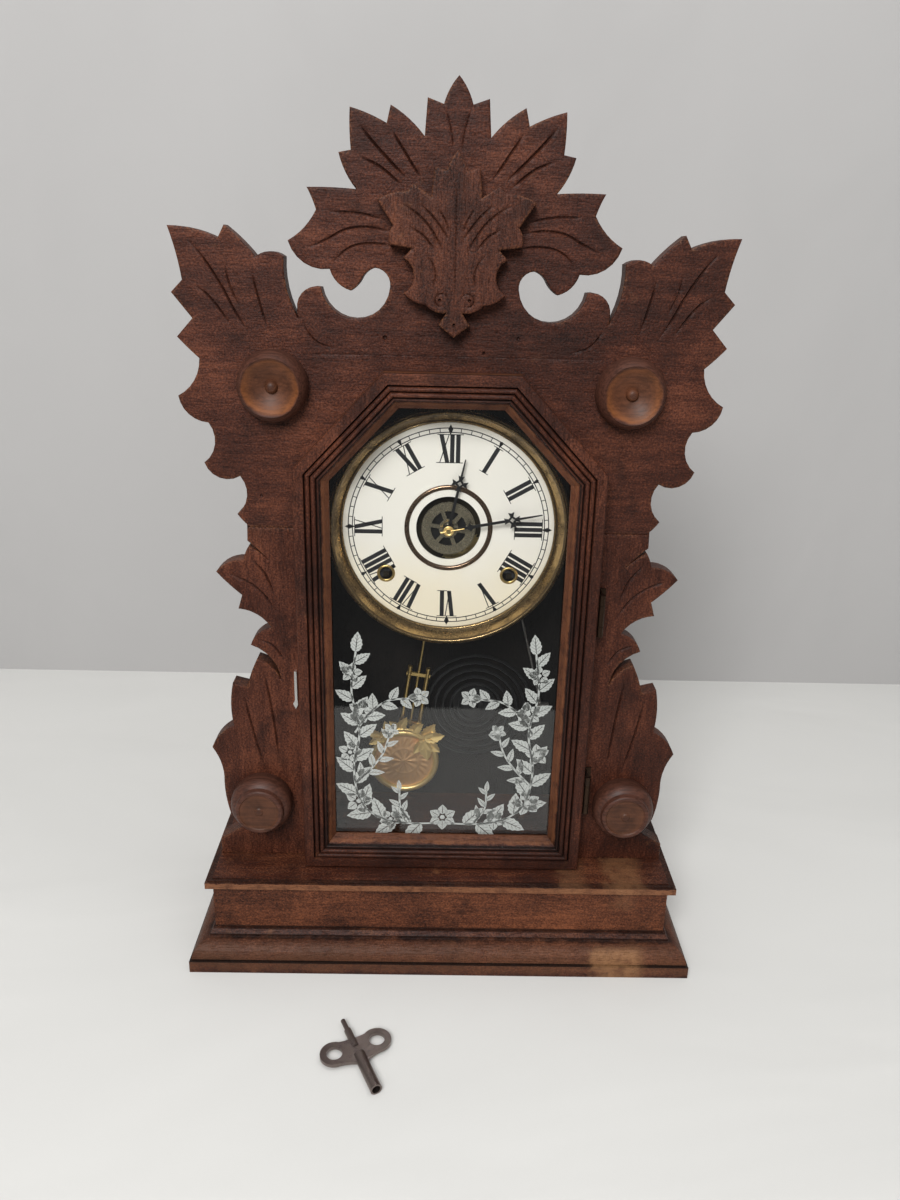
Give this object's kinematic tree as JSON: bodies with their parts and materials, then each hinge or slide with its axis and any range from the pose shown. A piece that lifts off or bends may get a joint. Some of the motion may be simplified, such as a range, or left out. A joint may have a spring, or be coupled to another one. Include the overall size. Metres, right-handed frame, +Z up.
{
  "type": "gingerbread clock",
  "caption": "Carved walnut kitchen clock with a leaf-cut crest, hinged glazed door, striking spring movement, swinging pendulum, coil gong and loose double-ended winding key.",
  "frame": {"origin": "middle of the underside of the base, at floor level", "axes": "+Z up, +X to the right of someone facing the dial, +Y from the dial towards the back"},
  "size_m": [0.344, 0.2412, 0.559],
  "materials": {
    "walnut": "old shellac",
    "clear_glass": "clear, silvered design",
    "dial_paper": "ivory paper",
    "zinc": "plain zinc",
    "black_paint": "satin black",
    "steel": "worn plate",
    "aged_brass": "aged",
    "black_iron": "japanned"
  },
  "bodies": {
    "case": {"base_front_moulding": "walnut", "base_left_moulding": "walnut", "base_right_moulding": "walnut", "front_riser": "walnut", "left_riser": "walnut", "right_riser": "walnut", "bottom_board": "walnut", "shelf": "walnut", "left_front_board": "walnut", "right_front_board": "walnut", "crest_board": "walnut", "crest_ornament": "walnut", "left_rosette": "walnut", "right_rosette": "walnut", "left_knob": "walnut", "right_knob": "walnut", "left_case_side": "walnut", "right_case_side": "walnut", "case_top": "walnut", "back_board": "walnut", "hinge_case_leaves": "aged_brass", "dial_face": "dial_paper", "dial_pan": "zinc", "dial_bezel": "aged_brass", "centre_ring": "aged_brass", "winding_grommets": "aged_brass", "front_plate": "aged_brass", "back_plate": "aged_brass", "gong_coil": "black_iron", "gong_base": "black_iron"},
    "door": {"door_bottom_rail": "walnut", "door_left_stile": "walnut", "door_right_stile": "walnut", "door_left_shoulder": "walnut", "door_right_shoulder": "walnut", "door_top_rail": "walnut", "door_glass": "clear_glass", "glass_beads": "walnut", "hinge_door_leaves": "aged_brass"},
    "latch": {"door_latch": "steel"},
    "hour": {"hour_hand": "black_paint"},
    "minute": {"minute_hand": "black_paint"},
    "motion": {"minute_wheel": "aged_brass"},
    "alarm": {"alarm_disc": "aged_brass"},
    "centre": {"centre_wheel": "aged_brass", "hand_washer": "aged_brass"},
    "second": {"second_wheel": "aged_brass"},
    "time_great": {"time_great_wheel": "aged_brass", "time_mainspring": "steel"},
    "third": {"third_wheel": "aged_brass"},
    "escape": {"escape_wheel": "aged_brass"},
    "strike_great": {"strike_great_wheel": "aged_brass", "strike_mainspring": "steel"},
    "strike_second": {"strike_second_wheel": "aged_brass"},
    "fly": {"fly": "aged_brass"},
    "hammer": {"hammer": "steel"},
    "verge": {"verge": "steel"},
    "pendulum": {"pendulum_rods": "aged_brass", "pendulum_bob": "aged_brass"},
    "key": {"winding_key": "steel"}
  },
  "joints": [
    {"name": "door_swing", "type": "hinge", "parent": "case", "child": "door", "pos_m": [0.09725, -0.039, 0], "axis": [0, 0, 1], "range_deg": [0, 85]},
    {"name": "latch_slide", "type": "slide", "parent": "case", "child": "latch", "axis": [0, 0, 1], "range_m": [0, 0.006]},
    {"name": "minute_turn", "type": "hinge", "parent": "case", "child": "minute", "pos_m": [0, 0, 0.3015], "axis": [0, 1, 0], "continuous": true},
    {"name": "hour_turn", "type": "hinge", "parent": "case", "child": "hour", "pos_m": [0, 0, 0.3015], "axis": [0, 1, 0], "continuous": true},
    {"name": "motion_turn", "type": "hinge", "parent": "case", "child": "motion", "pos_m": [0.009, 0, 0.28591], "axis": [0, 1, 0], "continuous": true},
    {"name": "alarm_set", "type": "hinge", "parent": "hour", "child": "alarm", "pos_m": [0, 0, 0.3015], "axis": [0, 1, 0], "continuous": true},
    {"name": "escape_turn", "type": "hinge", "parent": "case", "child": "escape", "pos_m": [0, 0, 0.335], "axis": [0, 1, 0], "continuous": true},
    {"name": "third_turn", "type": "hinge", "parent": "case", "child": "third", "pos_m": [-0.0213, 0, 0.3221], "axis": [0, 1, 0], "continuous": true},
    {"name": "centre_turn", "type": "hinge", "parent": "case", "child": "centre", "pos_m": [0, 0, 0.3015], "axis": [0, 1, 0], "continuous": true},
    {"name": "second_turn", "type": "hinge", "parent": "case", "child": "second", "pos_m": [0.03051, 0, 0.29913], "axis": [0, 1, 0], "continuous": true},
    {"name": "time_wind", "type": "hinge", "parent": "case", "child": "time_great", "pos_m": [0.0405, 0, 0.27], "axis": [0, 1, 0], "continuous": true},
    {"name": "fly_turn", "type": "hinge", "parent": "case", "child": "fly", "pos_m": [-0.04738, 0, 0.32435], "axis": [0, 1, 0], "continuous": true},
    {"name": "strike_second_turn", "type": "hinge", "parent": "case", "child": "strike_second", "pos_m": [-0.05002, 0, 0.29929], "axis": [0, 1, 0], "continuous": true},
    {"name": "strike_wind", "type": "hinge", "parent": "case", "child": "strike_great", "pos_m": [-0.0405, 0, 0.27], "axis": [0, 1, 0], "continuous": true},
    {"name": "pendulum_swing", "type": "hinge", "parent": "case", "child": "pendulum", "pos_m": [0, 0.0405, 0.3135], "axis": [0, 1, 0], "range_deg": [-18, 2]},
    {"name": "verge_rock", "type": "hinge", "parent": "case", "child": "verge", "pos_m": [0, 0.037, 0.3135], "axis": [0, 1, 0], "range_deg": [-18, 2]},
    {"name": "hammer_draw", "type": "hinge", "parent": "case", "child": "hammer", "pos_m": [0.047, 0, 0.2555], "axis": [0, 1, 0], "range_deg": [-6, 0]},
    {"name": "key_lift", "type": "slide", "parent": "case", "child": "key", "axis": [0, 0, 1], "range_m": [0, 0.06]}
  ],
  "couplings": [
    {"joint": "hour_turn", "follows": "minute_turn", "ratio": 0.083333},
    {"joint": "motion_turn", "follows": "minute_turn", "ratio": -0.33333},
    {"joint": "third_turn", "follows": "escape_turn", "ratio": -0.092105},
    {"joint": "centre_turn", "follows": "escape_turn", "ratio": 0.0089547},
    {"joint": "second_turn", "follows": "escape_turn", "ratio": -0.001194},
    {"joint": "time_wind", "follows": "escape_turn", "ratio": 0.00019899},
    {"joint": "strike_second_turn", "follows": "fly_turn", "ratio": -0.125},
    {"joint": "strike_wind", "follows": "fly_turn", "ratio": 0.020833},
    {"joint": "verge_rock", "follows": "pendulum_swing", "ratio": 1}
  ]
}
